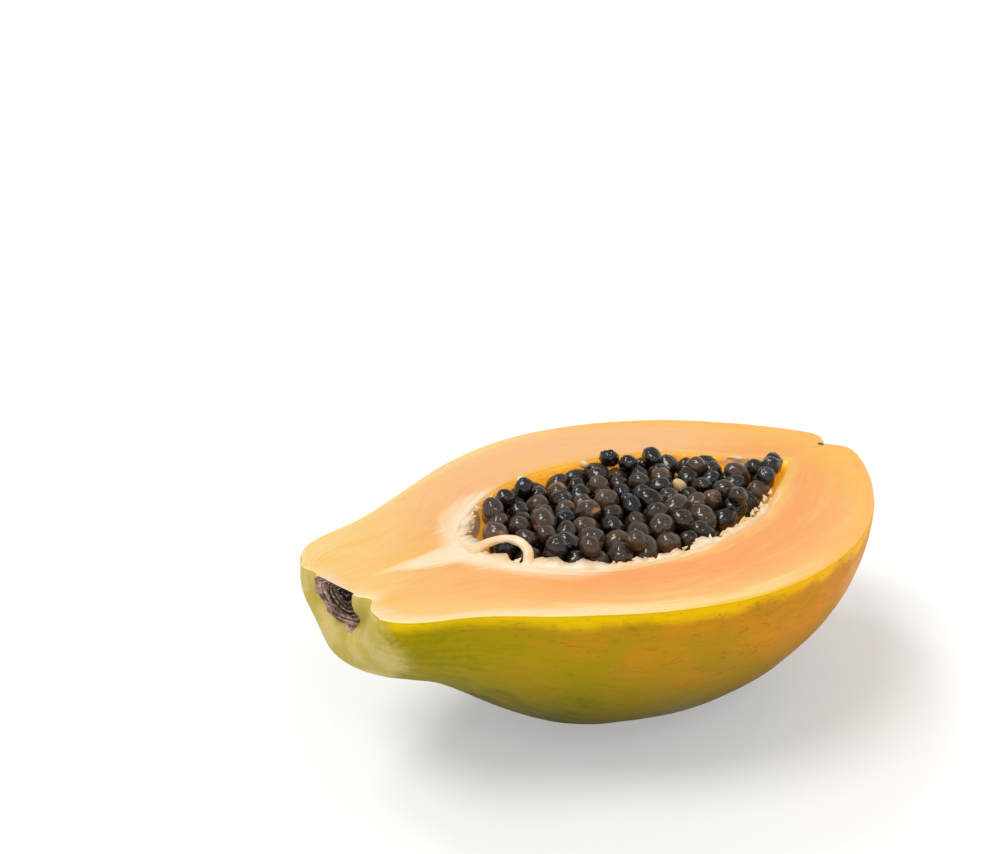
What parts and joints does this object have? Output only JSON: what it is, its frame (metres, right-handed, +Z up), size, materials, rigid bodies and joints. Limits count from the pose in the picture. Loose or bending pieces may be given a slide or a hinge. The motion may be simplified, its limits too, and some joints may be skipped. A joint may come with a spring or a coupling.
{
  "type": "papaya half",
  "caption": "Half of a ripe papaya cut lengthwise, lying on its back with the cut face up, its hollow full of round dark seeds.",
  "frame": {"origin": "on the surface that the fruit lies on, under the middle of its box", "axes": "+X along the fruit from the stalk end to the blossom end, +Y across it, +Z up, square to the cut face"},
  "size_m": [0.1666, 0.1102, 0.0601],
  "materials": {
    "fruit": "moist flesh, waxy green to gold skin",
    "pulp": "moist torn fibre",
    "seeds": "wet jelly skin",
    "stalk_scar": "dry cork"
  },
  "bodies": {
    "root": {"papaya_half": "fruit", "pulp": "pulp", "seeds": "seeds", "stalk_scar": "stalk_scar"}
  },
  "joints": []
}
